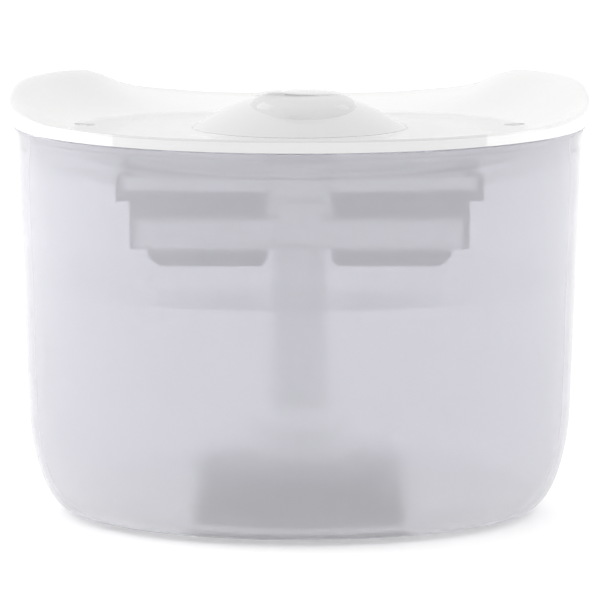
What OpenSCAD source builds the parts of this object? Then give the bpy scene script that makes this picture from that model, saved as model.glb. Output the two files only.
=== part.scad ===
// Pet water fountain: a frosted round tank on a power base, a submerged magnet-driven pump,
// a hanging filter box with a cartridge, and a white drinking tray with a spring in the middle.
// Millimetres. Z is up, the desk is z = 0, the front faces -Y, +X is the viewer's right.

/* [Tank] */
// Height of the seam between tank and tray
seam_z = 134.1; // [115:0.1:150]
// Radius of the tank wall at the seam
tank_top_r = 96.9; // [80:0.1:120]
// How far the wall draws in between the seam and the bottom curve
tank_taper = 3.4; // [0:0.1:15]
// Height of the tank's lowest edge above the desk
tank_bottom_z = 1.4; // [0.8:0.1:4]
// How far the bottom curve turns inward
turn_r = 15.4; // [8:0.1:22]
// How tall the bottom curve is
turn_h = 40.6; // [20:0.1:55]
// Fullness of the bottom curve, 2 is an ellipse
turn_n = 2; // [1.5:0.05:2.6]
// Wall thickness of the tank
tank_wall = 2.3; // [1.6:0.1:3.5]
// How far the rolled rim stands out from the wall
rim_roll = 1.3; // [0.8:0.1:3]
// Depth of the ledge that carries the filter box, below the seam
ledge_drop = 5; // [3:0.1:9]
// How far the locating ribs inside the rim stand from its side, sideways
rib_inset = 23.9; // [15:0.1:40]

/* [Base] */
// How far the power base sits inside the tank's lower edge
base_inset = 8.7; // [6:0.1:16]
// Height of the base's broad top, where the tank stands
base_top_z = 8; // [7:0.1:14]
// Radius of the raised drum in the middle
drum_r = 34.5; // [25:0.1:40]
// Height of the drum's top
drum_top_z = 16.6; // [12:0.1:24]
// Wall of the base housing
base_wall = 1.6; // [1.2:0.1:2.5]
// Thickness of the base's bottom plate
plate_t = 2.2; // [1.6:0.1:3]
// How far the rubber feet lift the plate
foot_lift = 0.8; // [0.5:0.1:2]
// Width of the power inlet
inlet_w = 9; // [7:0.1:12]
// Number of drive coils
coil_count = 4; // [3:1:6]

/* [Pump] */
// Outer radius of the pump cup
cup_r = 13.4; // [11:0.1:20]
// Outer radius of the strainer cover
strainer_r = 17.2; // [15:0.1:26]
// Outer radius of the riser tube
riser_r = 9.5; // [6:0.1:12]
// Wall of the riser tube
riser_wall = 1.9; // [1:0.1:3]
// Radius of the impeller
impeller_r = 10.4; // [8:0.1:14]
// Number of impeller blades
blade_count = 6; // [4:1:8]
// Radius of the ceramic shaft
shaft_r = 0.79; // [0.6:0.01:1.5]

/* [Filter] */
// Half width of the filter box's upper tier
tier1_x = 62; // [50:0.1:70]
// Half width of its middle tier
tier2_x = 57.4; // [45:0.1:65]
// Half width at the bottom blocks
tier3_x = 51.4; // [40:0.1:60]
// Half depth of the upper tier
tier1_y = 48; // [35:0.1:55]
// Radius of the upper tier's upright corners
tier1_round = 5; // [3:0.5:8]
// Radius of the middle tier's upright corners
tier2_round = 4; // [3:0.5:8]
// Top of the filter box, below the seam
box_drop = 11.4; // [10:0.1:15]
// Bottoms of the three tiers, below the seam
tier_drops = [21.8, 38.6, 44.7];
// Where the front face starts to slope in, and where the slope ends, below the seam
slope_drops = [17.4, 28.4];
// Wall of the filter box
box_wall = 1.8; // [1.2:0.1:3]
// Where the gutters run into the box, below the seam
gutter_drop = 16.8; // [14:0.1:19]
// Half width of the notch down the front face
notch_x = 11; // [6:0.1:16]

/* [Tray] */
// How far the tray's raised sides reach out over the rim
side_reach = 1.8; // [1.2:0.1:8]
// Wall of the tray
tray_t = 2.2; // [1.6:0.1:3]
// Water level in the tray, below the seam
pool_drop = 1.5; // [0:0.1:4]
// Depth of the pool
pool_depth = 7; // [4:0.1:10]
// Height of the hill's flat top above the seam
hill_h = 8.4; // [5:0.1:14]
// Radius of the hill's foot
hill_r = 46; // [35:0.5:60]
// How far the drain holes sit inside the rim, and how far towards the back
drain_inset = 24.2; // [18:0.1:32]
drain_back = 9; // [0:0.5:20]
// Radius of a drain hole
drain_r = 3.6; // [2:0.1:5]

/* [Nozzle] */
// Radius of the nozzle cap
cap_r = 15.2; // [12:0.1:18]
// Height of the cap's skirt
cap_skirt = 1.6; // [1:0.1:4]
// Height of the cap's crown above the skirt
cap_crown = 1.2; // [0.5:0.1:4]

/* [Quality] */
// Facets of round parts
facets = 96; // [48:8:160]
// Steps of the tray around its rim
tray_steps = 80; // [48:4:120]

/* [Hidden] */

$fn = facets;
eps = 0.01;
// Longer than any cut goes
through = 200;
tank_low_r = tank_top_r - tank_taper;
rim_r = tank_top_r + rim_roll;
tray_r = rim_r + side_reach;
base_r = tank_low_r - turn_r - base_inset;
rib_x = tank_top_r - rib_inset;
drain_x = rim_r - drain_inset;
plate_z = foot_lift;
plate_top = plate_z + plate_t;
base_fit = 0.8;
drum_fit = 0.5;
tank_floor_t = 2.2;
tank_floor_z = base_top_z + tank_floor_t;
pedestal_r = drum_r + drum_fit + tank_floor_t;
pedestal_z = drum_top_z + 0.4 + tank_floor_t;
turn_n_in = turn_n + 0.1;
screw_pitch_r = base_r - 8.4;
screw_r = 1.12;
screw_head_r = 2.5;
screw_head_h = 1.3;
screw_boss_r = 3;
screw_at = [for (a = [20, 160, 200, 340]) screw_pitch_r * [cos(a), sin(a)]];
foot_pitch_r = base_r - 15.4;
foot_r = 6;
foot_at = [for (a = [45, 135, 225, 315]) foot_pitch_r * [cos(a), sin(a)]];
coil_room = 3.9;
coil_gap = 4.46;
coil_half_step = sin(180 / coil_count);
yoke_edge = 0.5;
coil_pitch_r = (drum_r - base_wall - coil_room - yoke_edge + coil_gap / 2) / (1 + coil_half_step);
coil_r = coil_pitch_r * coil_half_step - coil_gap / 2;
core_r = coil_r / 2 - 0.25;
yoke_t = 2;
coil_turn = 360 / coil_count;
coil_at = [for (a = [45:coil_turn:404]) coil_pitch_r * [cos(a), sin(a)]];
gasket_r = base_r - 1;
gasket_w = 1.2;
board_size = [34, 20, 1.2];
inlet_y = base_r - 11.2;
board_y = inlet_y - board_size[1] - 0.2;
board_rail = 0.8;
inlet_h = 3.2;
inlet_t = 0.4;
cable_gap = 14;
pump_z = pedestal_z;
cup_z = pump_z + 0.6;
cup_floor = 1.4;
cup_wall = 1.4;
cup_top = cup_z + 8;
cup_in_r = cup_r - cup_wall;
pump_foot_r = 2.6;
pump_foot_at = [for (a = [30, 150, 270]) (cup_r - 4.4) * [cos(a), sin(a)]];
bayonet = [0, 120, 240];
bayonet_w = 5;
strainer_wall = 1.4;
neck_r = riser_r + 2;
neck_top = cup_top + 10;
riser_z = cup_top + 3.2;
riser_top = seam_z + 5.6;
sleeve_in_r = riser_r + 0.4;
sleeve_r = sleeve_in_r + 1.3;
box_z = seam_z - box_drop;
tier_z = [for (d = tier_drops) seam_z - d];
slope_y = tier1_y - 3.5;
tier2_y = tier1_y - 6.5;
tier3_y = tier1_y - 10;
case_x = tier2_x - box_wall - 0.7;
case_y = tier2_y - box_wall - 0.7;
case_z = tier_z[1] + box_wall + 0.5;
case_flange_z = tier_z[0] + box_wall;
case_wall = 1.2;
case_floor = 1.2;
case_sleeve_r = sleeve_r + 1.7;
case_bore_r = sleeve_r + 0.5;
flange_x = tier1_x - box_wall - 0.6;
flange_y = slope_y - box_wall - 0.6;
flange_t = 1.4;
layer_t = 5.4;
lid_t = 1.6;
layer_gap = 0.2;
arm_half = 20;
slit_x = (notch_x + tier3_x) / 2;
slit_half = (tier3_x - notch_x) / 2 - 7.2;
case_slit_x = (case_sleeve_r + case_x - case_wall) / 2;
case_slit_half = (case_x - case_wall - case_sleeve_r) / 2 - 4.4;
bush_r = 1.6;
hub_r = 2.4;
seat_drop = 1.1;
seat_fit = 0.1;
skirt_out = tank_top_r - tank_wall - 0.4;
skirt_in = skirt_out - 2.1;
skirt_fit = 0.25;
skirt_drop = 3.2;
ledge_r = skirt_in + 0.7;
tab_x = sqrt(ledge_r * ledge_r - arm_half * arm_half) - 1.2;
seal_t = 0.8;
seal_low = 2.75;
groove_r = skirt_out - 1;
bore_r = riser_r + 1.9;
grommet_h = 4.2;
hill_flat_r = cap_r + 0.3;
lip_in_r = rim_r - 2.8;
bed_steps = 16;
colour_white = [0.96, 0.96, 0.95];
colour_frost = [0.83, 0.83, 0.87, 0.5];
colour_grey = [0.62, 0.61, 0.66];
colour_dark = [0.25, 0.25, 0.27];

// A superellipse quarter from the wall (0 degrees) to the floor (90 degrees)
function turn(rc, zc, rx, rz, n, k) =
  [for (i = [0:k]) [rc + rx * pow(cos(90 * i / k), 2 / n), zc - rz * pow(sin(90 * i / k), 2 / n)]];

module ring(r_out, r_in, z, h) {
  translate([0, 0, z])
    difference() {
      cylinder(r = r_out, h = h);
      translate([0, 0, -1]) cylinder(r = r_in, h = h + 2);
    }
}

module disc(r, z, h) {
  translate([0, 0, z]) cylinder(r = r, h = h);
}

module block(x, y, z, h) {
  translate([-x, -y, z]) cube([2 * x, 2 * y, h]);
}

module at(points) {
  for (p = points)
    translate([p[0], p[1], 0]) children();
}

// A block with rounded upright corners
module rounded(x, y, r, z, h) {
  translate([0, 0, z])
    linear_extrude(h)
      offset(r = r) square([2 * (x - r), 2 * (y - r)], center = true);
}

// A side profile in YZ, drawn out to both sides along X
module along_x(half, pts) {
  translate([-half, 0, 0])
    rotate([90, 0, 90])
      linear_extrude(2 * half) polygon(pts);
}

// A front profile in XZ, drawn out to both sides along Y
module along_y(half, pts) {
  translate([0, half, 0])
    rotate([90, 0, 0])
      linear_extrude(2 * half) polygon(pts);
}

// ---- Power base -------------------------------------------------------------------------

module base_plate() {
  color(colour_white)
    difference() {
      union() {
        disc(base_r, plate_z, plate_t);
        ring(base_r - 3.2, base_r - 4.6, plate_top - eps, 1.2);
        for (x = [-12, 12])
          translate([x - 2, board_y + 2, plate_top - eps]) cube([4, board_size[1] - 4, board_rail]);
      }
      at(foot_at) disc(foot_r + 0.1, plate_z - 1, 1.6);
      at(screw_at) disc(screw_head_r + 0.2, plate_z - 1, screw_head_h + 1.2);
      at(screw_at) disc(screw_r + 0.28, plate_z - 1, 6);
      translate([-6, inlet_y - 0.5, plate_top]) cube([12, 14, 3]);
    }
}

module base_housing() {
  color(colour_white)
    difference() {
      union() {
        difference() {
          union() {
            disc(base_r, plate_top, base_top_z - plate_top);
            disc(drum_r, plate_top, drum_top_z - plate_top);
          }
          disc(base_r - 3, plate_top - 1, base_top_z - base_wall - plate_top + 1);
          disc(drum_r - base_wall, plate_top - 1, drum_top_z - base_wall - plate_top + 1);
        }
        at(screw_at) disc(screw_boss_r, plate_top, base_top_z - plate_top - 0.5);
      }
      ring(gasket_r, gasket_r - gasket_w, plate_top - 1, 1.8);
      at(screw_at) disc(screw_r + 0.03, plate_top - 1, 4.4);
      translate([-inlet_w / 2 - 0.2, inlet_y - 1, plate_top - 1]) cube([inlet_w + 0.4, 14, inlet_h + 1.2]);
    }
}

module base_gasket() {
  color(colour_dark)
    difference() {
      ring(gasket_r - 0.05, gasket_r - gasket_w + 0.05, plate_top, 0.75);
      translate([-inlet_w / 2 - 0.4, inlet_y, plate_top - 1]) cube([inlet_w + 0.8, 14, 3]);
    }
}

module base_feet() {
  color(colour_dark)
    at(foot_at) disc(foot_r, 0, plate_z + 0.6);
}

module base_screws() {
  color([0.75, 0.75, 0.77])
    at(screw_at)
      difference() {
        union() {
          disc(screw_head_r, plate_z + 0.2, screw_head_h);
          disc(screw_r, plate_z + 1, 4.4);
        }
        for (a = [0, 90])
          translate([0, 0, plate_z]) rotate([0, 0, a]) translate([-1.6, -0.3, 0]) cube([3.2, 0.6, 0.8]);
      }
}

module power_board() {
  color([0.1, 0.35, 0.2])
    union() {
      translate([-board_size[0] / 2, board_y, plate_top + board_rail - eps]) cube(board_size);
      // Chips on the board: place and size
      for (p = [[-12, 4, 5, 4], [-3, 5, 6, 6], [7, 3, 4, 3], [9, 11, 5, 5], [-14, 12, 4, 5]])
        translate([p[0], board_y + p[1], plate_top + board_rail + board_size[2] - 2 * eps])
          cube([p[2], p[3], 1]);
    }
}

module power_inlet() {
  color([0.8, 0.8, 0.82])
    difference() {
      translate([-inlet_w / 2, inlet_y, plate_top]) cube([inlet_w, base_r - inlet_y - 0.6, inlet_h]);
      translate([-inlet_w / 2 + inlet_t, inlet_y + 1.6, plate_top + inlet_t])
        difference() {
          cube([inlet_w - 2 * inlet_t, 12, inlet_h - 2 * inlet_t]);
          // The tongue that carries the contacts
          translate([1, -1, 0.85]) cube([inlet_w - 2 * inlet_t - 2, 9, 0.7]);
        }
    }
}

module stator_core() {
  color([0.4, 0.4, 0.42])
    union() {
      ring(coil_pitch_r + coil_r + yoke_edge, coil_pitch_r - coil_r + yoke_edge, plate_top, yoke_t);
      at(coil_at) disc(core_r, plate_top + 1, drum_top_z - base_wall - plate_top - 1.4);
    }
}

module drive_coils() {
  color([0.72, 0.4, 0.2])
    at(coil_at)
      ring(coil_r, core_r + 0.05, plate_top + yoke_t, drum_top_z - base_wall - plate_top - yoke_t - 1.2);
}

// ---- Tank -------------------------------------------------------------------------------

module tank_outer() {
  rotate_extrude()
    polygon(concat(
      [[0, seam_z], [rim_r - 0.4, seam_z], [rim_r, seam_z - 0.5], [rim_r - 0.1, seam_z - 1.4],
       [tank_top_r + 0.2, seam_z - 2.8]],
      turn(tank_low_r - turn_r, tank_bottom_z + turn_h, turn_r, turn_h, turn_n, 12),
      [[0, tank_bottom_z]]));
}

module tank_inner() {
  rotate_extrude()
    polygon(concat(
      [[0, seam_z + 1], [tank_top_r + seat_fit, seam_z + 1],
       [tank_top_r + seat_fit, seam_z - seat_drop - seat_fit],
       [tank_top_r - tank_wall, seam_z - seat_drop - seat_fit]],
      turn(tank_low_r - tank_wall - turn_r + 1, tank_bottom_z + turn_h, turn_r - 1,
           turn_h - 2.4, turn_n_in, 10),
      [[0, tank_bottom_z + 2.4]]));
}

// A ledge at each side, where the filter box's gutters hang
module tank_ledge() {
  intersection() {
    rotate_extrude()
      polygon([[ledge_r, seam_z - ledge_drop], [ledge_r, seam_z - ledge_drop - 0.8],
               [tank_top_r - 1, seam_z - ledge_drop - 3.4], [tank_top_r - 1, seam_z - ledge_drop]]);
    block(tank_top_r, arm_half + 5, 0, seam_z);
  }
}

module tank_ribs() {
  rib_t = 1;
  rib_h = 8;
  foot_r = tank_top_r - 1;
  for (sx = [-1, 1])
    translate([sx * rib_x - rib_t / 2, -sqrt(foot_r * foot_r - rib_x * rib_x), seam_z - rib_h])
      cube([rib_t, 3.2, rib_h - seat_drop - 0.3]);
}

module tank() {
  color(colour_frost)
    difference() {
      union() {
        difference() {
          tank_outer();
          difference() {
            tank_inner();
            disc(base_r + base_fit + tank_floor_t, 0, tank_floor_z);
            disc(pedestal_r, 0, pedestal_z);
            translate([-cable_gap / 2 - tank_floor_t, 0, 0])
              cube([cable_gap + 2 * tank_floor_t, tank_low_r - 1, tank_floor_z]);
          }
        }
        tank_ledge();
        difference() {
          tank_ribs();
          disc(skirt_out + skirt_fit, 0, seam_z + 5);
        }
      }
      disc(base_r + base_fit, 0, base_top_z);
      disc(drum_r + drum_fit, 0, drum_top_z + 0.4);
      translate([-cable_gap / 2, 0, -1]) cube([cable_gap, through, base_top_z + 1]);
    }
}

// ---- Pump -------------------------------------------------------------------------------

module pump_feet() {
  color(colour_dark)
    at(pump_foot_at) disc(pump_foot_r, pump_z, 1);
}

module pump_cup() {
  color([0.93, 0.93, 0.93])
    difference() {
      union() {
        disc(cup_r, cup_z, cup_top - cup_z);
        for (a = bayonet)
          rotate([0, 0, a]) translate([0, -bayonet_w / 2, cup_z + 2.4]) cube([cup_r + 1.8, bayonet_w, 1.1]);
      }
      disc(cup_in_r, cup_z + cup_floor, through);
      disc(bush_r, cup_z + 0.8, 5);
      at(pump_foot_at) disc(pump_foot_r + 0.05, pump_z - 1, 2);
      for (i = [0:5])
        rotate([0, 0, 60 * i + 30]) translate([cup_in_r - 4, -1.8, cup_z + 2]) cube([10, 3.6, 2.2]);
    }
}

module pump_cover() {
  color([0.93, 0.93, 0.93])
    difference() {
      union() {
        disc(cup_r, cup_top, 1.6);
        disc(cup_in_r - 0.1, cup_top - 1, 1.2);
        disc(neck_r, cup_top, neck_top - cup_top);
      }
      difference() {
        disc(8, cup_top - 2, 8);
        disc(3, cup_top - 2, 3.4);
        for (a = [0, 120, 240])
          rotate([0, 0, a]) translate([0, -0.7, cup_top - 1]) cube([9, 1.4, 2.4]);
      }
      disc(bush_r, cup_top - 3, 4.2);
      disc(riser_r + 0.08, riser_z, through);
      ring(riser_r + 1.3, riser_r - 0.5, riser_z + 2, 1.6);
    }
}

module pump_sponge() {
  color([0.2, 0.2, 0.22])
    ring(strainer_r - strainer_wall - 0.3, cup_r + 0.3, cup_z + 4, cup_top - cup_z - 2.6);
}

module riser_tube() {
  color([0.85, 0.85, 0.88])
    ring(riser_r, riser_r - riser_wall, riser_z, riser_top - riser_z);
}

module riser_seal() {
  color(colour_dark)
    ring(riser_r + 1.27, riser_r + 0.01, riser_z + 2.05, 1.5);
}

module lower_bush() {
  color([0.95, 0.95, 0.9])
    difference() {
      disc(bush_r, cup_z + 0.8, 1.2);
      disc(shaft_r + 0.01, cup_z + 1.1, 4);
    }
}

module upper_bush() {
  color([0.95, 0.95, 0.9])
    ring(bush_r, shaft_r + 0.01, cup_top - 0.4, 1.5);
}

module impeller_shaft() {
  color([0.98, 0.98, 0.96])
    disc(shaft_r, cup_z + 1.1, cup_top - 0.4 + 1.5 - cup_z - 1.1);
}

module impeller() {
  hub_z = cup_z + 2.3;
  color([0.9, 0.9, 0.92])
    difference() {
      union() {
        disc(hub_r, hub_z, 4.5);
        disc(impeller_r, hub_z + 1.9, 0.8);
        for (i = [0:blade_count - 1])
          rotate([0, 0, i * 360 / blade_count])
            translate([1.6, -0.4, hub_z + 2.6]) cube([impeller_r - 2, 0.8, 1.9]);
      }
      disc(shaft_r + 0.04, cup_z, through);
    }
}

module rotor_magnet() {
  color([0.3, 0.3, 0.33])
    ring(impeller_r - 1.8, hub_r + 0.02, cup_z + 2.3, 1.88);
}

module strainer_cover() {
  top_z = cup_top + 2;
  color([0.78, 0.78, 0.8])
    difference() {
      union() {
        difference() {
          disc(strainer_r, cup_z + 0.2, top_z + 1.3 - cup_z - 0.2);
          disc(strainer_r - strainer_wall, cup_z - 1, top_z - cup_z + 1);
        }
        for (a = bayonet)
          rotate([0, 0, a])
            translate([cup_r + 0.9, -bayonet_w / 2, cup_z + 1])
              cube([strainer_r - cup_r - 1.2, bayonet_w, 1.1]);
      }
      disc(neck_r + 0.3, 0, through);
      for (i = [0:17])
        rotate([0, 0, 20 * i + 10])
          translate([strainer_r - 3, -0.9, cup_z + 3.6]) cube([6, 1.8, top_z - cup_z - 4.8]);
    }
}

// ---- Filter box and cartridge -------------------------------------------------------------

// The plan of the upper two tiers with rounded corners, inset by w
module tier1_plan(w) {
  rounded(tier1_x - w, tier1_y - w, tier1_round - w, tier_z[0] - 1, through);
}

module tier2_plan(w) {
  slope_end = seam_z - slope_drops[1];
  rounded(tier2_x - w, slope_y - w, tier2_round - w, slope_end, through);
  rounded(tier2_x - w, tier2_y - w, tier2_round - w, tier_z[1] - 1, slope_end - tier_z[1] + 1);
}

module box_outer() {
  slope_top = seam_z - slope_drops[0];
  slope_end = seam_z - slope_drops[1];
  intersection() {
    along_x(tier1_x, [[-tier1_y, box_z], [tier1_y, box_z], [tier1_y, slope_top],
                      [slope_y, tier_z[0]], [-slope_y, tier_z[0]], [-tier1_y, slope_top]]);
    tier1_plan(0);
  }
  intersection() {
    along_x(tier2_x, [[-slope_y + 1, tier_z[0] + 1], [slope_y - 1, tier_z[0] + 1], [slope_y, tier_z[0]],
                      [tier2_y, slope_end], [tier2_y, tier_z[1]], [-tier2_y, tier_z[1]],
                      [-tier2_y, slope_end], [-slope_y, tier_z[0]]]);
    tier2_plan(0);
  }
  for (s = [0, 1])
    mirror([s, 0, 0])
      along_y(tier3_y, [[notch_x - 0.5, tier_z[1] + 1], [tier3_x, tier_z[1] + 1],
                        [tier3_x, tier_z[1] - 2.7], [tier3_x - 4, tier_z[2]], [notch_x + 2, tier_z[2]],
                        [notch_x - 0.5, tier_z[1] - 3.7]]);
}

module box_inner() {
  w = box_wall;
  slope_top = seam_z - slope_drops[0] + 0.4;
  slope_end = seam_z - slope_drops[1];
  intersection() {
    along_x(tier1_x - w, [[-tier1_y + w, box_z + 5], [tier1_y - w, box_z + 5], [tier1_y - w, slope_top],
                          [slope_y - w, tier_z[0] + w], [-slope_y + w, tier_z[0] + w],
                          [-tier1_y + w, slope_top]]);
    tier1_plan(w);
  }
  intersection() {
    along_x(tier2_x - w, [[-slope_y + w, tier_z[0] + w + 1], [slope_y - w, tier_z[0] + w + 1],
                          [slope_y - w, tier_z[0] + 1], [tier2_y - w, slope_end],
                          [tier2_y - w, tier_z[1] + w], [-tier2_y + w, tier_z[1] + w],
                          [-tier2_y + w, slope_end], [-slope_y + w, tier_z[0] + 1]]);
    tier2_plan(w);
  }
  for (s = [0, 1])
    mirror([s, 0, 0])
      along_y(tier3_y - w, [[notch_x + 1.3, tier_z[1] + w + 1], [tier3_x - w, tier_z[1] + w + 1],
                            [tier3_x - w, tier_z[1] - 2], [tier3_x - 4.6, tier_z[2] + w],
                            [notch_x + 2.8, tier_z[2] + w], [notch_x + 1.3, tier_z[1] - 3]]);
}

// A gutter from each drain to the box, ending in a tab that hangs on the tank's ledge
module box_arm() {
  w = box_wall;
  tab_z = seam_z - ledge_drop;
  difference() {
    intersection() {
      along_y(arm_half, [[tier1_x - 4, box_z], [tier1_x + 4, box_z], [tab_x - 11.4, seam_z - 6.6],
                         [tab_x - 3.4, tab_z + 1.4], [skirt_out, tab_z + 1.4],
                         [skirt_out, tab_z], [tab_x, tab_z], [tab_x - 1.4, seam_z - 9.2],
                         [tier1_x - 3, seam_z - gutter_drop - 2.4]]);
      disc(skirt_out - 0.2, 0, through);
    }
    along_y(arm_half - w, [[tier1_x - 12, seam_z + 5], [tab_x - 2.8, seam_z + 5],
                           [tab_x - 2.8, seam_z - 7.6], [tier1_x - 2, seam_z - gutter_drop],
                           [tier1_x - 12, seam_z - gutter_drop]]);
  }
}

// The two raised pads in the notch down the front face
module notch_pads() {
  for (p = [[9.3, 19.7, 7.9], [7, 36.1, 13.7]])
    translate([-p[0], -tier1_y + 3, seam_z - p[1]]) cube([2 * p[0], 3, p[2]]);
}

// Rows of slits of the given half length, either side of the riser
module slit_rows(x, half, rows, pitch, w, z) {
  for (s = [-1, 1])
    for (i = rows)
      translate([s * x - half, i * pitch - w / 2, z - 1]) cube([2 * half, w, 4]);
}

module filter_box() {
  w = box_wall;
  color(colour_grey)
    difference() {
      union() {
        difference() {
          union() {
            box_outer();
            for (s = [0, 1]) mirror([s, 0, 0]) box_arm();
          }
          difference() {
            box_inner();
            translate([-notch_x - w, -tier1_y, 0]) cube([2 * (notch_x + w), 7.2, through]);
          }
          for (s = [-1, 1])
            translate([s * tier1_x - 4, w - arm_half, seam_z - gutter_drop])
              cube([8, 2 * (arm_half - w), through]);
        }
        disc(sleeve_r, tier_z[1], box_z - tier_z[1]);
        notch_pads();
      }
      disc(sleeve_in_r, 0, through);
      difference() {
        translate([-notch_x, -tier1_y - 1, tier_z[1] - 1]) cube([2 * notch_x, 6.4, through]);
        notch_pads();
      }
      slit_rows(slit_x, slit_half, [-3:3], 9, 3, tier_z[2]);
    }
}

// Where the case and its lid step back from the notch in the box
module notch_clear() {
  translate([-notch_x - 2.6, -tier1_y, 0])
    cube([2 * notch_x + 5.2, tier1_y - slope_y + box_wall + 4.2, through]);
}

module cartridge_case() {
  color([0.88, 0.88, 0.9])
    difference() {
      union() {
        difference() {
          union() {
            block(case_x, case_y, case_z, case_flange_z - case_z + flange_t);
            block(flange_x, flange_y, case_flange_z, flange_t);
          }
          block(case_x - case_wall, case_y - case_wall, case_z + case_floor, through);
        }
        disc(case_sleeve_r, case_z, case_flange_z - case_z + flange_t);
      }
      disc(case_bore_r, 0, through);
      slit_rows(case_slit_x, case_slit_half, [-4:4], 8, 3.2, case_z);
      notch_clear();
    }
}

module layer(z, h) {
  difference() {
    block(case_x - case_wall - layer_gap, case_y - case_wall - layer_gap, z, h);
    disc(case_sleeve_r + layer_gap, 0, through);
  }
}

module resin_layer() {
  color([0.9, 0.75, 0.45]) layer(case_z + case_floor, layer_t);
}

module carbon_layer() {
  color([0.12, 0.12, 0.12]) layer(case_z + case_floor + layer_t, layer_t);
}

module cotton_layer() {
  cotton_z = case_z + case_floor + 2 * layer_t;
  color([0.97, 0.97, 0.97]) layer(cotton_z, case_flange_z + flange_t - cotton_z);
}

module cartridge_lid() {
  lid_z = case_flange_z + flange_t;
  color([0.88, 0.88, 0.9])
    difference() {
      union() {
        block(flange_x, flange_y, lid_z, lid_t);
        for (s = [-1, 1])
          translate([s * 30 - 8, -1, lid_z + lid_t - 0.6]) cube([16, 2, lid_t + 1.6]);
      }
      disc(case_bore_r, 0, through);
      slit_rows(case_slit_x, case_slit_half + 1, [-4, -3, -2, -1, 1, 2, 3, 4], 8, 3.6, lid_z);
      notch_clear();
    }
}

// ---- Tray -------------------------------------------------------------------------------

// Rim height above the seam; the angle runs from the front (0) round to the back (180)
function rim_height(a) = lookup(a, [[0, 4.5], [28, 4.1], [48, 4.1], [60, 4.4], [71, 5.6], [80, 6.9],
  [88, 8.2], [94, 9.9], [100, 12], [106, 12.9], [114, 13.1], [123, 13.1], [128, 12.7], [133.5, 11.8],
  [136, 9.2], [139, 7.4], [143.5, 5.3], [149, 4], [155, 2.8], [160, 1.8], [169, 1.1], [180, 1]]);

// Width of the slope between the pool's edge and the tank's rim in the same angle
function slope_w(a) = lookup(a, [[0, 8.2], [30, 8.7], [55, 12.2], [75, 18.7], [90, 23.2], [100, 25.2],
  [115, 26.7], [125, 29.7], [134, 34.7], [146, 42.2], [158, 47.2], [170, 50.2], [180, 51.2]]);

// How hollow that slope is
function slope_power(a) = lookup(a, [[0, 1.3], [70, 1.5], [95, 2.1], [125, 2], [150, 1.4], [180, 1.1]]);

function soft_max(a, b, k) = (a + b + sqrt((a - b) * (a - b) + k * k)) / 2;

function hill(r) = r <= hill_flat_r ? hill_h
  : hill_h - (hill_h + pool_drop + pool_depth) * pow((r - hill_flat_r) / (hill_r - hill_flat_r), 1.5);

function dish(r, a) =
  let (edge = rim_r - slope_w(a), top = rim_height(a), rim = rim_r - 1.2)
  r > edge
    ? -pool_drop + (top - 0.6 + pool_drop) * pow((r - edge) / (rim - edge), slope_power(a))
    : -pool_drop - pool_depth * (1 - pow(r / edge, 5));

function top_z(r, a) =
  r <= hill_flat_r ? hill_h : soft_max(dish(r, a), hill(r), r < hill_flat_r + 4 ? 0 : 1.2);

// Radii from the lip in to the hill's flat top, in steps that are short at both ends
function bed_r(i) = lip_in_r + (hill_flat_r - lip_in_r) * (1 - cos(180 * i / bed_steps)) / 2;

// The lip leans out by this radius: most at the raised sides, less in front and behind
function lip_r(a) = rim_r + 1 + (tray_r - rim_r - 1) * pow(sin(a), 2);

function tray_profile(a) =
  let (h = rim_height(a), ro = lip_r(a))
  concat(
    [[skirt_in, -skirt_drop], [skirt_out, -skirt_drop], [skirt_out, -seal_low - 0.05],
     [groove_r, -seal_low - 0.05], [groove_r, seal_t - seal_low + 0.05],
     [skirt_out, seal_t - seal_low + 0.05],
     [skirt_out + 0.1, max(-seat_drop, top_z(skirt_out, a) - tray_t)],
     [tank_top_r - 0.1, max(-seat_drop, top_z(tank_top_r, a) - tray_t)],
     [tank_top_r, 0], [rim_r + 0.1, 0],
     [(rim_r + ro) / 2 + 0.1, h * 0.4], [ro, h * 0.9 - 0.3], [ro - 0.5, h - 0.1], [ro - 1.3, h],
     [ro - 2.2, h - 0.35]],
    [for (i = [0:bed_steps]) [bed_r(i), top_z(bed_r(i), a)]],
    [[bore_r - 3, hill_h], [bore_r - 3, hill_h - tray_t]],
    [for (i = [bed_steps:-1:0]) if (bed_r(i) < skirt_in - 3) [bed_r(i), top_z(bed_r(i), a) - tray_t]],
    [[skirt_in - 0.2, min(top_z(skirt_in, a) - tray_t, 40)]]);

module tray_shell() {
  n = tray_steps;
  rows = [for (i = [0:n - 1]) tray_profile(i <= n / 2 ? 360 * i / n : 360 - 360 * i / n)];
  m = len(rows[0]);
  pts = [for (i = [0:n - 1]) for (p = rows[i])
    [p[0] * sin(360 * i / n), -p[0] * cos(360 * i / n), seam_z + p[1]]];
  faces = [for (i = [0:n - 1]) for (j = [0:m - 1])
    let (a = i * m + j, b = i * m + (j + 1) % m,
         c = ((i + 1) % n) * m + (j + 1) % m, d = ((i + 1) % n) * m + j)
    each [[a, c, b], [a, d, c]]];
  polyhedron(points = pts, faces = faces);
}

module tray() {
  color(colour_white)
    difference() {
      tray_shell();
      disc(bore_r, 0, through);
      for (s = [-1, 1])
        translate([s * drain_x, drain_back, 0]) disc(drain_r, 0, through);
    }
}

module tray_seal() {
  color([0.85, 0.85, 0.87])
    ring(skirt_out + 0.25, groove_r + 0.05, seam_z - seal_low, seal_t);
}

module riser_grommet() {
  color([0.85, 0.85, 0.87])
    ring(bore_r - 0.02, riser_r + 0.3, seam_z + hill_h - grommet_h, grommet_h);
}

// ---- Nozzle -----------------------------------------------------------------------------

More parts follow.
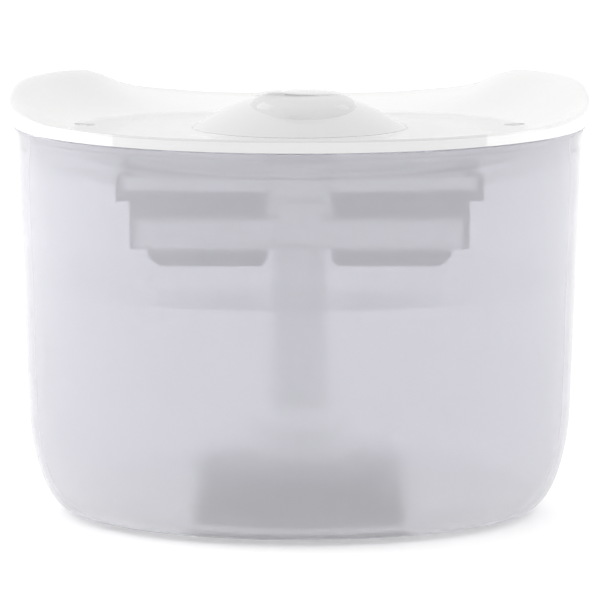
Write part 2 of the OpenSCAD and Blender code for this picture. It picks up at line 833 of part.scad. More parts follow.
module nozzle_cap() {
  z0 = seam_z + hill_h;
  stem_r = riser_r - riser_wall - 0.3;
  stem_in = stem_r - 1.4;
  stem_h = 6.4;
  roof = cap_skirt - 0.4;
  slot_half = 5;
  color(colour_white)
    difference() {
      translate([0, 0, z0])
        rotate_extrude()
          polygon(concat(
            [[stem_in, -stem_h], [stem_r, -stem_h], [stem_r, roof],
             [cap_r - 1.6, roof], [cap_r - 1.6, 0], [cap_r, 0]],
            [for (i = [0:8]) [cap_r * cos(90 * i / 8), cap_skirt + cap_crown * sin(90 * i / 8)]],
            [[0, roof], [stem_in, roof]]));
      translate([-slot_half, -20, z0 + 0.3]) cube([2 * slot_half, 11, roof - 0.6]);
      for (a = [45, 135, 225, 315])
        rotate([0, 0, a]) translate([stem_in - 1, -1.8, z0 - 3]) cube([4, 3.6, 3.6]);
    }
}

base_plate();
base_housing();
base_gasket();
base_feet();
base_screws();
power_board();
power_inlet();
stator_core();
drive_coils();
tank();
pump_feet();
pump_cup();
pump_cover();
pump_sponge();
riser_tube();
riser_seal();
lower_bush();
upper_bush();
impeller_shaft();
impeller();
rotor_magnet();
strainer_cover();
filter_box();
cartridge_case();
resin_layer();
carbon_layer();
cotton_layer();
cartridge_lid();
tray();
tray_seal();
riser_grommet();
nozzle_cap();
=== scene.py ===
# Pet water fountain: materials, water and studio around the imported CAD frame. Metres.
import math

import bmesh
import bpy
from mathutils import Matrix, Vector
from mathutils.bvhtree import BVHTree


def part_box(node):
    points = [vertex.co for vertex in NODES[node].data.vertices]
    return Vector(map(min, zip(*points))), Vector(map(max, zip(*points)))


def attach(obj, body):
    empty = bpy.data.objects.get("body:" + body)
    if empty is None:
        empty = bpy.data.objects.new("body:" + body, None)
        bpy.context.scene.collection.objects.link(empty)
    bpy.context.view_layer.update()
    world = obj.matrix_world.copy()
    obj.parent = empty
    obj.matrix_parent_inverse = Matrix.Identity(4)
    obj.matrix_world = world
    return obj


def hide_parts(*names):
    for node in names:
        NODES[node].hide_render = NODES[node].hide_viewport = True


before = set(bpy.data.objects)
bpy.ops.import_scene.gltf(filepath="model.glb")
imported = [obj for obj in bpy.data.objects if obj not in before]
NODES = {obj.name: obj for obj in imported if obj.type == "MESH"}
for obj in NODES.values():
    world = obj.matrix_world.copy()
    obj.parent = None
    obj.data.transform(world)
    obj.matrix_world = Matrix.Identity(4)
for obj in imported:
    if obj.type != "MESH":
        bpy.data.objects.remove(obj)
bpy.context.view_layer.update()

MM = 0.001

# ---- Places on the frame -------------------------------------------------------------------

# The tray: its lip, its skirt inside the tank and the hill in the middle.
TRAY_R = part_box("tray")[1].x
LIP_R = TRAY_R - 3.1 * MM
LIP_SHADE_X = 62.5 * MM
LIP_SHADE_Y = -65 * MM
SKIRT_R = TRAY_R - 9.5 * MM
HILL_R = 45 * MM

# The tank's rim and what is at a height under it, and the tank's clear floor.
SEAM_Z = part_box("tank")[1].z
SKIRT_Z = SEAM_Z - 1.2 * MM
POOL_Z = SEAM_Z - 1.5 * MM
TANK_WATER_Z = 80.5 * MM
FROST_TOP_Z = 100 * MM
FROST_FULL_Z = 55 * MM
FOOT_TOP_Z = 30 * MM
FOOT_FULL_Z = 8 * MM
TANK_FLOOR_R = 79 * MM
TANK_FLOOR_END_R = 82 * MM

# The nozzle cap, which covers the hill's top.
CAP_LOW, CAP_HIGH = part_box("nozzle_cap")
CAP_INSIDE_R = CAP_HIGH.x - 1.4 * MM
HILL_Z = CAP_LOW.z + 6.4 * MM
CAP_ROOF_Z = HILL_Z + 1.26 * MM
CAP_FOOT_Z = HILL_Z - 0.4 * MM

# The filter box: the edges of its steps, its middle notch and its side gutters.
BOX_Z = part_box("filter_box")[0].z
STEP_Z = BOX_Z + 5.6 * MM
SLOPE_LOW_Z = BOX_Z + 16.6 * MM
SLOPE_TOP_Z = BOX_Z + 26.6 * MM
NOTCH_X = 11.5 * MM
GUTTER_X = 62.65 * MM
SOFT = 1.6 * MM

# The drum in the middle of the base housing.
DRUM_R = 35 * MM
DRUM_EDGE_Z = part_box("base_housing")[1].z - 1.6 * MM
DRUM_SOFT = 2 * MM

# ---- Camera: the photograph's, 600 x 600 ---------------------------------------------------

PHOTO_SIDE = 600
PHOTO_FOCAL = 7604.5
SENSOR = 36.0
CAMERA_AT = Vector((0.14 * MM, -2.6, 0.4014))
CAMERA_AIM = Vector((0.14 * MM, 0, 72.9 * MM))


def turn_to(at, aim):
    """The turn that points a camera or a light from one place at another."""
    return (Vector(aim) - Vector(at)).to_track_quat("-Z", "Y").to_euler()


def add_camera():
    data = bpy.data.cameras.new("photo_camera")
    data.sensor_width = SENSOR
    data.lens = PHOTO_FOCAL * SENSOR / PHOTO_SIDE
    data.clip_end = 20
    camera = bpy.data.objects.new("photo_camera", data)
    bpy.context.scene.collection.objects.link(camera)
    camera.location = CAMERA_AT
    camera.rotation_euler = turn_to(CAMERA_AT, CAMERA_AIM)
    bpy.context.scene.camera = camera


add_camera()

# ---- Shader helpers ------------------------------------------------------------------------


def new_material(name):
    """A material, its node tree and its main shader."""
    mat = bpy.data.materials.new(name)
    mat.use_nodes = True
    return mat, mat.node_tree, mat.node_tree.nodes["Principled BSDF"]


def feed(tree, socket, value):
    """Links an output to a socket, or sets the socket to a plain value."""
    if isinstance(value, bpy.types.NodeSocket):
        tree.links.new(value, socket)
    else:
        socket.default_value = value


def feed_all(tree, node, values):
    """Feeds a node's inputs, given by name or by number."""
    for name, value in values.items():
        feed(tree, node.inputs[name], value)


def add_node(tree, kind, values=None, **settings):
    """Adds a node, sets it up and feeds its inputs."""
    node = tree.nodes.new(kind)
    for name, value in settings.items():
        setattr(node, name, value)
    feed_all(tree, node, values or {})
    return node


def ramp_of(tree, value, start, end, low=0, high=1):
    """Turns start..end into low..high, and holds the value past both ends."""
    span = {"Value": value, "From Min": start, "From Max": end, "To Min": low, "To Max": high}
    return add_node(tree, "ShaderNodeMapRange", span).outputs["Result"]


def edge_at(tree, value, place, soft):
    """A soft edge: 0 before the place and 1 past it, or the other way round if soft is below 0."""
    return ramp_of(tree, value, place - soft, place + soft)


def joined(tree, operation, *values):
    """Joins several values by one operation."""
    total = values[0]
    for value in values[1:]:
        step = add_node(tree, "ShaderNodeMath", {0: total, 1: value}, operation=operation)
        total = step.outputs["Value"]
    return total


def size_of(tree, value):
    """A value without its sign."""
    return add_node(tree, "ShaderNodeMath", {0: value}, operation="ABSOLUTE").outputs["Value"]


def mixed(tree, factor, first, second):
    """A colour between two others."""
    parts = {"Factor": factor, "A": first, "B": second}
    return add_node(tree, "ShaderNodeMix", parts, data_type="RGBA").outputs["Result"]


def raise_surface(tree, shader, height, strength, distance, invert=False):
    """Bumps a shader's surface by a height."""
    values = {"Height": height, "Strength": strength, "Distance": distance}
    bump = add_node(tree, "ShaderNodeBump", values, invert=invert)
    feed(tree, shader.inputs["Normal"], bump.outputs["Normal"])


def spot(tree):
    """The place on the object, as one vector."""
    return add_node(tree, "ShaderNodeTexCoord").outputs["Object"]


def split(tree, vector):
    """A vector's X, Y and Z."""
    return add_node(tree, "ShaderNodeSeparateXYZ", {"Vector": vector}).outputs


def height(tree):
    """Height over the ground."""
    return split(tree, spot(tree))["Z"]


def aside(tree):
    """Distance to the left or right of the middle."""
    return size_of(tree, split(tree, spot(tree))["X"])


def depth(tree):
    """Distance behind the middle, below 0 in front of it."""
    return split(tree, spot(tree))["Y"]


def radius(tree):
    """Distance from the upright axis."""
    flat = add_node(tree, "ShaderNodeVectorMath", {0: spot(tree), 1: (1, 1, 0)}, operation="MULTIPLY")
    length = add_node(tree, "ShaderNodeVectorMath", {0: flat.outputs["Vector"]}, operation="LENGTH")
    return length.outputs["Value"]


def facing(tree):
    """1 on a panel that faces forwards or backwards, 0 on one that faces up, down or aside."""
    normal = add_node(tree, "ShaderNodeNewGeometry").outputs["Normal"]
    return size_of(tree, split(tree, normal)["Y"])


def band(tree, low, high):
    """1 between two heights."""
    z = height(tree)
    return joined(tree, "MULTIPLY", edge_at(tree, z, low, SOFT), edge_at(tree, z, high, -SOFT))


# ---- Shared effects, as node groups --------------------------------------------------------


def new_group(name, inputs, outputs):
    """A node group with the given inputs and outputs, and the sockets of its two ends."""
    group = bpy.data.node_groups.new(name, "ShaderNodeTree")
    for label, value in inputs.items():
        kind = "NodeSocketColor" if isinstance(value, tuple) else "NodeSocketFloat"
        group.interface.new_socket(label, in_out="INPUT", socket_type=kind).default_value = value
    for label in outputs:
        kind = "NodeSocketColor" if label == "Color" else "NodeSocketFloat"
        group.interface.new_socket(label, in_out="OUTPUT", socket_type=kind)
    return group, add_node(group, "NodeGroupInput").outputs, add_node(group, "NodeGroupOutput")


def make_grain():
    """Fine moulded grain: colour drift, roughness and height from noise at a given scale."""
    group, given, leave = new_group("moulded_grain", {
        "Scale": 400.0,
        "Color": (0.8, 0.8, 0.8, 1),
        "Shade": (0.7, 0.7, 0.7, 1),
        "Rough Low": 0.3,
        "Rough High": 0.4,
    }, ("Color", "Roughness", "Height"))
    where = spot(group)
    drift = add_node(group, "ShaderNodeTexNoise", {"Vector": where, "Scale": 14, "Detail": 3})
    fine = {"Vector": where, "Scale": given["Scale"], "Detail": 4}
    grain = add_node(group, "ShaderNodeTexNoise", fine).outputs["Fac"]
    feed_all(group, leave, {
        "Color": mixed(group, drift.outputs["Fac"], given["Shade"], given["Color"]),
        "Roughness": ramp_of(group, grain, 0, 1, given["Rough Low"], given["Rough High"]),
        "Height": grain,
    })
    return group


def make_ripples():
    """Slow ripples on water: a roughness of at least the given blur, and a height."""
    group, given, leave = new_group("water_ripples", {"Blur": 0.0}, ("Roughness", "Height"))
    slow = {"Vector": spot(group), "Scale": 30, "Detail": 1}
    ripple = add_node(group, "ShaderNodeTexNoise", slow).outputs["Fac"]
    most = joined(group, "ADD", given["Blur"], 0.02)
    feed_all(group, leave, {
        "Roughness": ramp_of(group, ripple, 0, 1, given["Blur"], most),
        "Height": ripple,
    })
    return group


def make_packing():
    """Packed beads, granules or fibres: cells that turn from one tone to another outwards."""
    group, given, leave = new_group("packed_cells", {
        "Scale": 1000.0,
        "Middle": (0.8, 0.8, 0.8, 1),
        "Edge": (0.2, 0.2, 0.2, 1),
    }, ("Color", "Height"))
    cell = {"Vector": spot(group), "Scale": given["Scale"]}
    outwards = add_node(group, "ShaderNodeTexVoronoi", cell).outputs["Distance"]
    feed_all(group, leave, {
        "Color": mixed(group, ramp_of(group, outwards, 0, 0.75), given["Middle"], given["Edge"]),
        "Height": outwards,
    })
    return group


GRAIN = make_grain()
RIPPLES = make_ripples()
PACKING = make_packing()


def grained(name, color, shade, rough, scale, bump, **sockets):
    """A material whose colour, roughness and bump come from the moulded grain."""
    mat, tree, shader = new_material(name)
    grain = add_node(tree, "ShaderNodeGroup", node_tree=GRAIN)
    feed_all(tree, grain, {
        "Scale": scale,
        "Color": (*color, 1),
        "Shade": (*shade, 1),
        "Rough Low": rough[0],
        "Rough High": rough[1],
    })
    feed(tree, shader.inputs["Base Color"], grain.outputs["Color"])
    feed(tree, shader.inputs["Roughness"], grain.outputs["Roughness"])
    raise_surface(tree, shader, grain.outputs["Height"], bump, 0.1 * MM)
    for socket, value in sockets.items():
        shader.inputs[socket.replace("_", " ")].default_value = value
    return mat


def packed(name, middle, edge, cell, rough, bump):
    """A material of packed cells of a given size."""
    mat, tree, shader = new_material(name)
    cells = add_node(tree, "ShaderNodeGroup", node_tree=PACKING)
    feed_all(tree, cells, {"Scale": 1 / cell, "Middle": (*middle, 1), "Edge": (*edge, 1)})
    feed(tree, shader.inputs["Base Color"], cells.outputs["Color"])
    feed(tree, shader.inputs["Roughness"], rough)
    raise_surface(tree, shader, cells.outputs["Height"], bump, cell * 0.5, invert=True)
    return mat


def grey(tone, blue=1.0):
    """A grey, cooler if blue is over 1."""
    return (tone, tone, tone * blue)


def tint(mat, mask, color):
    """Turns a material's colour to another one where a mask is 1."""
    base = mat.node_tree.nodes["Principled BSDF"].inputs["Base Color"]
    before = base.links[0].from_socket
    feed(mat.node_tree, base, mixed(mat.node_tree, mask, before, (*color, 1)))


def painted_glow(mat, mask, tone):
    """Adds painted light: a faint glow where a mask is 1, standing in for light that reaches the
    surface.
    """
    shader = mat.node_tree.nodes["Principled BSDF"]
    feed(mat.node_tree, shader.inputs["Emission Color"], ramp_of(mat.node_tree, mask, 0, 1, 0, tone))
    shader.inputs["Emission Strength"].default_value = 1


def clear_up(mat, mask, alpha):
    """Lets a material clear to a given alpha where a mask is 1."""
    shader = mat.node_tree.nodes["Principled BSDF"]
    feed(mat.node_tree, shader.inputs["Alpha"], ramp_of(mat.node_tree, mask, 0, 1, 1, alpha))


# ---- Masks on the pieces -------------------------------------------------------------------


def painted_light_panels(tree):
    """1 on the box's upright panels, which are painted lighter, 0 on its slopes and on the lowest
    step.
    """
    upright = ramp_of(tree, facing(tree), 0.75, 0.97)
    middle = edge_at(tree, aside(tree), NOTCH_X, -SOFT)
    upper = band(tree, SLOPE_TOP_Z, SEAM_Z)
    lower = band(tree, STEP_Z, SLOPE_LOW_Z)
    return joined(tree, "MULTIPLY", upright, joined(tree, "MAXIMUM", upper, lower, middle))


def housing_ring(tree):
    """1 on the housing's outer ring, 0 on the drum and on the dark panel in front of it."""
    wide = edge_at(tree, aside(tree), DRUM_R, DRUM_SOFT)
    outer = edge_at(tree, radius(tree), DRUM_R, DRUM_SOFT)
    behind = joined(tree, "GREATER_THAN", depth(tree), 0)
    return joined(tree, "MAXIMUM", wide, joined(tree, "MULTIPLY", outer, behind))


def lit_skirt(tree):
    """1 on the outside of the tray's skirt, which gets painted light in place of the light through the
    frosted wall.
    """
    outside = edge_at(tree, radius(tree), SKIRT_R, 0.5 * MM)
    beside = edge_at(tree, aside(tree), NOTCH_X, SOFT)
    return joined(tree, "MULTIPLY", outside, beside, band(tree, 0, SKIRT_Z))


def painted_wet_shade(tree):
    """1 on the hill and below the pool's surface, where painted shade stands in for the shade the
    water gives the tray.
    """
    hill = edge_at(tree, radius(tree), HILL_R, -5 * MM)
    pool = edge_at(tree, height(tree), POOL_Z, -0.4 * MM)
    return joined(tree, "MAXIMUM", hill, pool)


def shaded_lip(tree):
    """1 on the outside of the front lip, which is a little darker in front of the filter box."""
    wide = edge_at(tree, aside(tree), LIP_SHADE_X, -0.5 * MM)
    front = edge_at(tree, depth(tree), LIP_SHADE_Y, -5 * MM)
    outside = edge_at(tree, radius(tree), LIP_R, 0.3 * MM)
    return joined(tree, "MULTIPLY", wide, front, outside)


def under_cap(tree):
    """1 on the cap's inside, where painted shade darkens it behind its slot."""
    inside = edge_at(tree, radius(tree), CAP_INSIDE_R, -0.1 * MM)
    below = edge_at(tree, height(tree), CAP_ROOF_Z, -0.04 * MM)
    above = joined(tree, "GREATER_THAN", height(tree), CAP_FOOT_Z)
    return joined(tree, "MULTIPLY", inside, below, above)


# ---- Materials -----------------------------------------------------------------------------


def glossy_plastic(name, color, shade):
    return grained(name, color, shade, rough=(0.16, 0.22), scale=900, bump=0.03,
                   Coat_Weight=0.25, Coat_Roughness=0.08, IOR=1.5)


def tray_plastic():
    """White, with painted shade where it is wet and at the front lip, and painted light on the skirt.
    """
    mat = glossy_plastic("white_tray_plastic", (0.93, 0.93, 0.925), (0.915, 0.915, 0.91))
    # Painted shade where the tray is wet.
    tint(mat, painted_wet_shade(mat.node_tree), grey(0.80))
    # Painted light: the skirt glows in place of light through the frosted wall.
    painted_glow(mat, lit_skirt(mat.node_tree), 0.19)
    # Painted shade on the outside of the front lip.
    tint(mat, shaded_lip(mat.node_tree), grey(0.79))
    return mat


def cap_plastic():
    """The tray's plastic, greyed all over by painted wet shade, and darkened inside by painted shade.
    """
    # Painted shade: the cap's grey is the wet shade, and its dark inside is painted shade.
    mat = glossy_plastic("white_cap_plastic", grey(0.80), grey(0.80))
    tint(mat, under_cap(mat.node_tree), grey(0.04))
    return mat


def tank_plastic():
    """Milky clear plastic: the frost grows from mid-height down, painted light makes it paler towards
    the foot, and the floor is clear.
    """
    mat = grained("frosted_tank_plastic", color=(0.90, 0.895, 0.945), shade=(0.885, 0.88, 0.93),
                  rough=(0.08, 0.10), scale=1200, bump=0.02, Transmission_Weight=0.66, IOR=1.35)
    tree = mat.node_tree
    # Painted light: the tank is paler towards its foot.
    tint(mat, ramp_of(tree, height(tree), FOOT_TOP_Z, FOOT_FULL_Z), (0.93, 0.927, 0.96))
    clear_up(mat, ramp_of(tree, radius(tree), TANK_FLOOR_END_R, TANK_FLOOR_R), 0.3)
    rough = tree.nodes["Principled BSDF"].inputs["Roughness"]
    frost = ramp_of(tree, height(tree), FROST_FULL_Z, FROST_TOP_Z, 0.12, 0)
    feed(tree, rough, joined(tree, "ADD", rough.links[0].from_socket, frost))
    return mat


def satin_plastic(name, tone):
    shade = (tone * 0.88, tone * 0.88, tone * 0.91)
    return grained(name, grey(tone, 1.03), shade, rough=(0.38, 0.5), scale=1500, bump=0.25)


def housing_plastic():
    """Dark with a pale ring, so that only the drum and the panel before it show as dark. The drum's
    paler top is painted light, and so is the ring's glow.
    """
    mat = satin_plastic("drum_plastic", 0.03)
    tree = mat.node_tree
    ring = housing_ring(tree)
    # Painted light: the drum's top is paler.
    tint(mat, edge_at(tree, height(tree), DRUM_EDGE_Z, DRUM_SOFT), (0.4, 0.4, 0.42))
    tint(mat, ring, (0.9, 0.9, 0.92))
    # Painted light: a glow on the pale ring.
    painted_glow(mat, ring, 0.19)
    return mat


def box_plastic():
    """Grey, with painted light that makes its upright panels paler and glowing, and gutters that
    hardly show.
    """
    mat = grained("filter_box_plastic", color=(0.38, 0.375, 0.41), shade=(0.35, 0.345, 0.38),
                  rough=(0.25, 0.3), scale=900, bump=0.1, Transmission_Weight=0.2, IOR=1.15)
    lit_panels = painted_light_panels(mat.node_tree)
    gutters = edge_at(mat.node_tree, aside(mat.node_tree), GUTTER_X, 0.35 * MM)
    # Painted light: the upright panels are paler than the slopes, and glow.
    tint(mat, lit_panels, (0.62, 0.615, 0.65))
    tint(mat, gutters, (0.97, 0.97, 0.98))
    painted_glow(mat, lit_panels, 0.17)
    clear_up(mat, gutters, 0.3)
    return mat


def glowing_milky_plastic(name, color, shade, rough, light, **sockets):
    """Pale plastic with an even, faint painted glow, standing in for the light that milky plastic
    passes on.
    """
    return grained(name, color, shade, rough, scale=900, bump=0.1,
                   Emission_Color=(1, 1, 1, 1), Emission_Strength=light, **sockets)


def soft_rubber(name, tone, rough):
    shade = (tone * 0.8, tone * 0.8, tone * 0.85)
    return grained(name, grey(tone, 1.05), shade, rough, scale=1800, bump=0.4)


def steel(name, tone, rough):
    shade = grey(tone * 0.85)
    return grained(name, grey(tone, 1.02), shade, rough, scale=2500, bump=0.2, Metallic=1.0)


def wound_copper():
    """Turns of enamelled wire, as bands across the coil's axis."""
    mat, tree, shader = new_material("wound_copper")
    bands = {"Vector": spot(tree), "Scale": 900, "Distortion": 0.3}
    turns = add_node(tree, "ShaderNodeTexWave", bands, bands_direction="Z").outputs["Fac"]
    feed_all(tree, shader, {
        "Base Color": mixed(tree, turns, (0.28, 0.09, 0.03, 1), (0.75, 0.32, 0.12, 1)),
        "Metallic": 0.9,
        "Roughness": 0.35,
    })
    raise_surface(tree, shader, turns, 1.0, 0.2 * MM)
    return mat


def clear_water(name, tone, alpha, ripples, blur):
    """Water with slow ripples. It casts no shadow, as thin clear water hardly does."""
    mat, tree, shader = new_material(name)
    ripple = add_node(tree, "ShaderNodeGroup", node_tree=RIPPLES)
    feed(tree, ripple.inputs["Blur"], blur)
    feed_all(tree, shader, {
        "Base Color": (*grey(tone), 1),
        "Roughness": ripple.outputs["Roughness"],
        "Alpha": alpha,
        "Transmission Weight": 1,
        "IOR": 1.33,
    })
    raise_surface(tree, shader, ripple.outputs["Height"], ripples, 1 * MM)
    light = add_node(tree, "ShaderNodeLightPath").outputs
    passes = joined(tree, "MAXIMUM", light["Is Shadow Ray"], light["Is Diffuse Ray"])
    through = add_node(tree, "ShaderNodeBsdfTransparent").outputs["BSDF"]
    mix = add_node(tree, "ShaderNodeMixShader", {0: passes, 1: shader.outputs["BSDF"], 2: through})
    feed(tree, tree.nodes["Material Output"].inputs["Surface"], mix.outputs["Shader"])
    return mat


# ---- CAD nodes that show as they are -------------------------------------------------------


def wear(piece, mat):
    """Gives a piece its one material."""
    piece.data.materials.clear()
    piece.data.materials.append(mat)


def paint(mat, *names):
    """Gives CAD nodes a material."""
    for name in names:
        wear(NODES[name], mat)


def paint_base():
    paint(satin_plastic("pale_base_plastic", tone=0.85), "base_plate")
    paint(housing_plastic(), "base_housing")
    paint(steel("screw_steel", tone=0.6, rough=(0.25, 0.4)), "base_screws")
    paint(steel("socket_shell", tone=0.75, rough=(0.15, 0.25)), "power_inlet")
    board = grained("circuit_board", color=(0.02, 0.16, 0.07), shade=(0.015, 0.11, 0.05),
                    rough=(0.3, 0.4), scale=3000, bump=0.3)
    paint(board, "power_board")
    core = grained("sintered_core", color=(0.09, 0.09, 0.1), shade=(0.06, 0.06, 0.07),
                   rough=(0.5, 0.65), scale=2500, bump=0.5)
    paint(core, "stator_core")
    paint(wound_copper(), "drive_coils")


def paint_pump():
    # Painted light: the pump's plastics glow faintly.
    shell = glowing_milky_plastic("pump_plastic", color=(0.92, 0.92, 0.93), shade=(0.88, 0.88, 0.9),
                          rough=(0.3, 0.4), light=0.2)
    paint(shell, "pump_cup", "pump_cover", "impeller")
    strainer = glowing_milky_plastic("strainer_plastic", color=(0.95, 0.95, 0.96), shade=(0.92, 0.92, 0.94),
                             rough=(0.35, 0.45), light=0.2)
    paint(strainer, "strainer_cover")
    riser = glowing_milky_plastic("riser_plastic", color=(0.92, 0.92, 0.93), shade=(0.89, 0.89, 0.9),
                          rough=(0.2, 0.26), light=0.02, Transmission_Weight=0.85, IOR=1.12)
    paint(riser, "riser_tube")
    foam = packed("grey_foam", middle=(0.35, 0.35, 0.37), edge=(0.6, 0.6, 0.62),
                  cell=0.9 * MM, rough=0.95, bump=1.0)
    paint(foam, "pump_sponge")
    ceramic = grained("polished_ceramic", color=(0.9, 0.9, 0.87), shade=(0.86, 0.86, 0.83),
                      rough=(0.08, 0.14), scale=1500, bump=0.02)
    paint(ceramic, "lower_bush", "upper_bush", "impeller_shaft")
    magnet = grained("sintered_magnet", color=(0.06, 0.06, 0.07), shade=(0.04, 0.04, 0.05),
                     rough=(0.45, 0.6), scale=2500, bump=0.4)
    paint(magnet, "rotor_magnet")


def paint_seals():
    dark = soft_rubber("dark_rubber", tone=0.03, rough=(0.55, 0.7))
    paint(dark, "base_gasket", "base_feet", "pump_feet", "riser_seal")
    milky = soft_rubber("milky_silicone", tone=0.75, rough=(0.35, 0.45))
    paint(milky, "tray_seal", "riser_grommet")


def paint_filter():
    paint(box_plastic(), "filter_box")
    case = grained("cartridge_plastic", color=(0.8, 0.8, 0.82), shade=(0.75, 0.75, 0.78),
                   rough=(0.35, 0.45), scale=900, bump=0.1)
    paint(case, "cartridge_case", "cartridge_lid")
    resin = packed("resin_beads", middle=(0.8, 0.5, 0.16), edge=(0.35, 0.18, 0.05),
                   cell=0.9 * MM, rough=0.35, bump=0.9)
    paint(resin, "resin_layer")
    carbon = packed("carbon_granules", middle=(0.012, 0.012, 0.013), edge=(0.04, 0.04, 0.042),
                    cell=1.3 * MM, rough=0.7, bump=1.0)
    paint(carbon, "carbon_layer")
    cotton = packed("cotton_fibre", middle=(0.9, 0.9, 0.88), edge=(0.7, 0.7, 0.68),
                    cell=0.7 * MM, rough=0.95, bump=0.8)
    paint(cotton, "cotton_layer")


# ---- Mesh helpers --------------------------------------------------------------------------


def clear_selection():
    bpy.ops.object.select_all(action="DESELECT")


def merged_copy(cad_name, piece_name, mat, angle_deg, body):
    """A smooth-shaded copy of a CAD node's own shape, which then stands for it."""
    piece = bpy.data.objects.new(piece_name, NODES[cad_name].data.copy())
    bpy.context.scene.collection.objects.link(piece)
    clear_selection()
    piece.select_set(True)
    bpy.context.view_layer.objects.active = piece
    bpy.ops.object.mode_set(mode="EDIT")
    bpy.ops.mesh.select_all(action="SELECT")
    bpy.ops.mesh.remove_doubles(threshold=0.002 * MM)
    bpy.ops.object.mode_set(mode="OBJECT")
    bpy.ops.mesh.customdata_custom_splitnormals_clear()
    bpy.ops.object.shade_smooth_by_angle(angle=math.radians(angle_deg))
    wear(piece, mat)
    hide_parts(cad_name)
    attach(piece, body)


def finish_piece(piece, name, mat, body):
    """Smooths and names a new piece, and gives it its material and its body."""
    piece.name = name
    wear(piece, mat)
    for poly in piece.data.polygons:
        poly.use_smooth = True
    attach(piece, body)


def ring_sheet(inner, outer, rings, steps):
    """A flat sheet of rings: a circle drawn outwards, ring by ring."""
    clear_selection()
    bpy.ops.mesh.primitive_circle_add(vertices=steps, radius=inner, location=(0, 0, 0))
    bpy.ops.object.mode_set(mode="EDIT")
    for k in range(rings):
        now = inner + (outer - inner) * k / rings
        then = inner + (outer - inner) * (k + 1) / rings
        bpy.ops.mesh.extrude_edges_move()
        bpy.ops.transform.resize(value=(then / now, then / now, 1), center_override=(0, 0, 0))
    bpy.ops.mesh.select_all(action="SELECT")
    bpy.ops.mesh.normals_make_consistent(inside=False)
    bpy.ops.object.mode_set(mode="OBJECT")
    return bpy.context.object


def close_downwards(piece, floor_of):
    """Copies the sheet down to floor_of(x, y) and joins the two along their edges."""
    bm = bmesh.new()
    bm.from_mesh(piece.data)
    for face in bm.faces:
        if face.normal.z < 0:
            face.normal_flip()
    made = bmesh.ops.solidify(bm, geom=bm.faces[:], thickness=0.001 * MM)
    under = [v for v in made["geom"] if isinstance(v, bmesh.types.BMVert)]
    for v in under:
        v.co.z = floor_of(v.co.x, v.co.y)
    bmesh.ops.recalc_face_normals(bm, faces=bm.faces[:])
    bm.to_mesh(piece.data)
    bm.free()


def surface_of(cad_name):
    """A function that gives the height of a CAD node's top, or a fallback where it has none."""
    data = NODES[cad_name].data
    faces = [poly.vertices[:] for poly in data.polygons]
    tree = BVHTree.FromPolygons([v.co for v in data.vertices], faces)

    def top(x, y, fallback):
        hit = tree.ray_cast(Vector((x, y, 1)), Vector((0, 0, -1)))
        return hit[0].z if hit[0] is not None else fallback

    return top


# ---- Water ---------------------------------------------------------------------------------

POOL_FOOT_R = 37 * MM
POOL_SHORE_R = 91 * MM
POOL_SINK = 0.8 * MM
POOL_LEAST = 0.5 * MM
WAVE_R = 44 * MM
WAVE_HEIGHT = 0.05 * MM
WAVE_LENGTH = 3.2 * MM
WAVE_FADE = 18 * MM
CREEP_HEIGHT = 0.45 * MM
CREEP_DEPTH = 1.1 * MM

BULGE_AT = Vector((1.2 * MM, -8 * MM, HILL_Z - 3 * MM))
BULGE_SIZE = Vector((18.4 * MM, 20 * MM, 6.6 * MM))
BULGE_ROUND = 0.6
BULGE_SINK = 0.9 * MM
BULGE_HEM_SINK = 0.5 * MM
LOBE_X = -11 * MM
LOBE_Y = -17 * MM
LOBE_SPREAD = 5.5 * MM
LOBE_HEIGHT = 1.8 * MM

RISER_GAP_R = 18.2 * MM
TANK_WALL_R = 92.3 * MM
WALL_CREEP_HEIGHT = 0.06 * MM
WALL_CREEP_WIDTH = 1.5 * MM
TANK_FILM = 0.05 * MM


def pool_level(x, y, floor):
    """The pool's height at a place: faint rings round the hill, and a creep up the shore."""
    r = math.hypot(x, y)
    rings = WAVE_HEIGHT * math.sin(r / WAVE_LENGTH) * math.exp(-abs(r - WAVE_R) / WAVE_FADE)
    creep = CREEP_HEIGHT * math.exp(-max(POOL_Z - floor, 0) / CREEP_DEPTH)
    return POOL_Z + rings + creep


def add_pool_water(mat, tray_top):
    """The pool in the tray. Its underside lies inside the tray's wall."""
    piece = ring_sheet(POOL_FOOT_R, POOL_SHORE_R, rings=90, steps=240)

    def floor(x, y):
        return tray_top(x, y, POOL_Z - 1 * MM)

    for v in piece.data.vertices:
        v.co.z = pool_level(v.co.x, v.co.y, floor(v.co.x, v.co.y))
    close_downwards(piece, lambda x, y: min(floor(x, y) - POOL_SINK, POOL_Z - POOL_LEAST))
    finish_piece(piece, "pool_water", mat, "tray")


def bulge_level(x, y, rise):
    """The bulge's height at a place, where rise goes from 0 at its hem to 1 at its top."""
    lobe = math.exp(-((x - LOBE_X) ** 2 + (y - LOBE_Y) ** 2) / (2 * LOBE_SPREAD ** 2))
    return BULGE_AT.z + BULGE_SIZE.z * rise ** BULGE_ROUND + LOBE_HEIGHT * lobe * rise


def add_spring_bulge(mat, tray_top):
    """Water that wells over the cap and slides down the front of the hill, with a lobe at its left."""
    clear_selection()
    bpy.ops.mesh.primitive_uv_sphere_add(segments=64, ring_count=40, radius=1, location=(0, 0, 0))
    piece = bpy.context.object
    for v in piece.data.vertices:
        x = BULGE_AT.x + v.co.x * BULGE_SIZE.x
        y = BULGE_AT.y + v.co.y * BULGE_SIZE.y
        floor = tray_top(x, y, HILL_Z - 1 * MM)
        z = floor - BULGE_SINK
        if v.co.z > 0:
            z = max(bulge_level(x, y, v.co.z), floor - BULGE_HEM_SINK)
        v.co = (x, y, z)
    finish_piece(piece, "spring_bulge", mat, "nozzle")


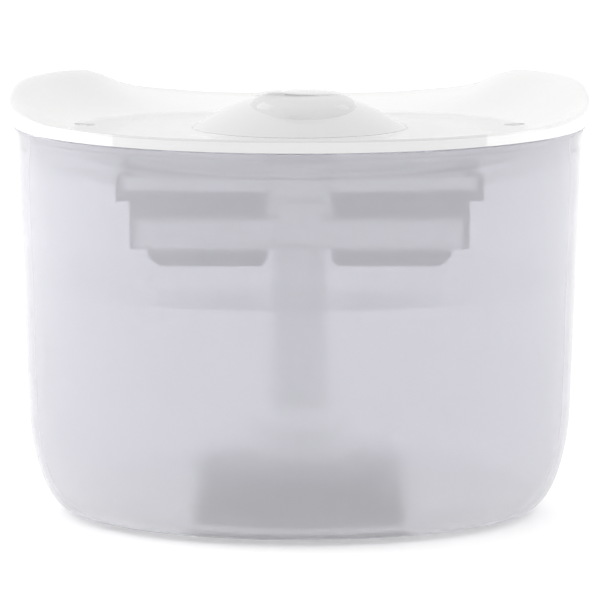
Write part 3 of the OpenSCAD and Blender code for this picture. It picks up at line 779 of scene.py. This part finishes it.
def add_tank_water(mat):
    """The water line in the tank: the surface only, open round the pump's riser."""
    piece = ring_sheet(RISER_GAP_R, TANK_WALL_R, rings=24, steps=96)
    for v in piece.data.vertices:
        from_wall = TANK_WALL_R - math.hypot(v.co.x, v.co.y)
        v.co.z = TANK_WATER_Z + WALL_CREEP_HEIGHT * math.exp(-from_wall / WALL_CREEP_WIDTH)
    close_downwards(piece, lambda x, y: TANK_WATER_Z - TANK_FILM)
    finish_piece(piece, "tank_water_surface", mat, "tank")


# ---- Build ---------------------------------------------------------------------------------

SMOOTH_DEG = 40

paint_base()
paint_pump()
paint_seals()
paint_filter()
paint(cap_plastic(), "nozzle_cap")
merged_copy("tray", "drinking_tray", tray_plastic(), SMOOTH_DEG, "tray")
merged_copy("tank", "frosted_tank", tank_plastic(), SMOOTH_DEG, "tank")
tray_top = surface_of("tray")
add_pool_water(clear_water("pool_water", tone=1, alpha=1, ripples=0.04, blur=0.12), tray_top)
# Painted shade: the spring water's grey tone darkens the bulge.
add_spring_bulge(clear_water("spring_water", tone=0.92, alpha=1, ripples=0.25, blur=0), tray_top)
add_tank_water(clear_water("still_water", tone=1, alpha=0.25, ripples=0.02, blur=0))

# ---- Studio --------------------------------------------------------------------------------

SKY_LEAN = (0, 0.5, 0.7)
SKY_LOW_TONE = 0.6
SKY_FULL = 0.4
SKY_STRENGTH = 0.985
LIGHT_AIM = (0, 0, 0.1)


def add_floor():
    clear_selection()
    bpy.ops.mesh.primitive_plane_add(size=12, location=(0, 0, 0))
    floor = bpy.context.object
    floor.name = "studio_floor"
    mat, tree, shader = new_material("studio_white")
    feed_all(tree, shader, {
        "Base Color": (*grey(0.95), 1),
        "Roughness": 0.9,
        "Emission Color": (1, 1, 1, 1),
        "Emission Strength": 0.3,
    })
    wear(floor, mat)


def add_sky():
    """A white sky above and behind, which turns grey low in front."""
    world = bpy.data.worlds.new("studio_world")
    bpy.context.scene.world = world
    world.use_nodes = True
    tree = world.node_tree
    way = add_node(tree, "ShaderNodeTexCoord").outputs["Generated"]
    lean = add_node(tree, "ShaderNodeVectorMath", {0: way, 1: SKY_LEAN}, operation="DOT_PRODUCT")
    sky = add_node(tree, "ShaderNodeValToRGB", {"Fac": lean.outputs["Value"]})
    sky.color_ramp.interpolation = "EASE"
    sky.color_ramp.elements[0].color = (*grey(SKY_LOW_TONE), 1)
    sky.color_ramp.elements[1].color = (1, 1, 1, 1)
    sky.color_ramp.elements[1].position = SKY_FULL
    feed_all(tree, tree.nodes["Background"], {"Color": sky.outputs["Color"], "Strength": SKY_STRENGTH})


def add_softbox(name, at, size, power):
    data = bpy.data.lights.new(name, "AREA")
    data.shape = "RECTANGLE"
    data.size, data.size_y = size
    data.energy = power
    light = bpy.data.objects.new(name, data)
    bpy.context.scene.collection.objects.link(light)
    light.location = at
    light.rotation_euler = turn_to(at, LIGHT_AIM)


bpy.context.scene.view_settings.view_transform = "Standard"
add_floor()
add_sky()
add_softbox("left_softbox", at=(-1.0, 0.25, 0.5), size=(0.8, 0.8), power=3.6)
add_softbox("right_softbox", at=(1.0, 0.3, 0.5), size=(0.6, 0.8), power=1.5)
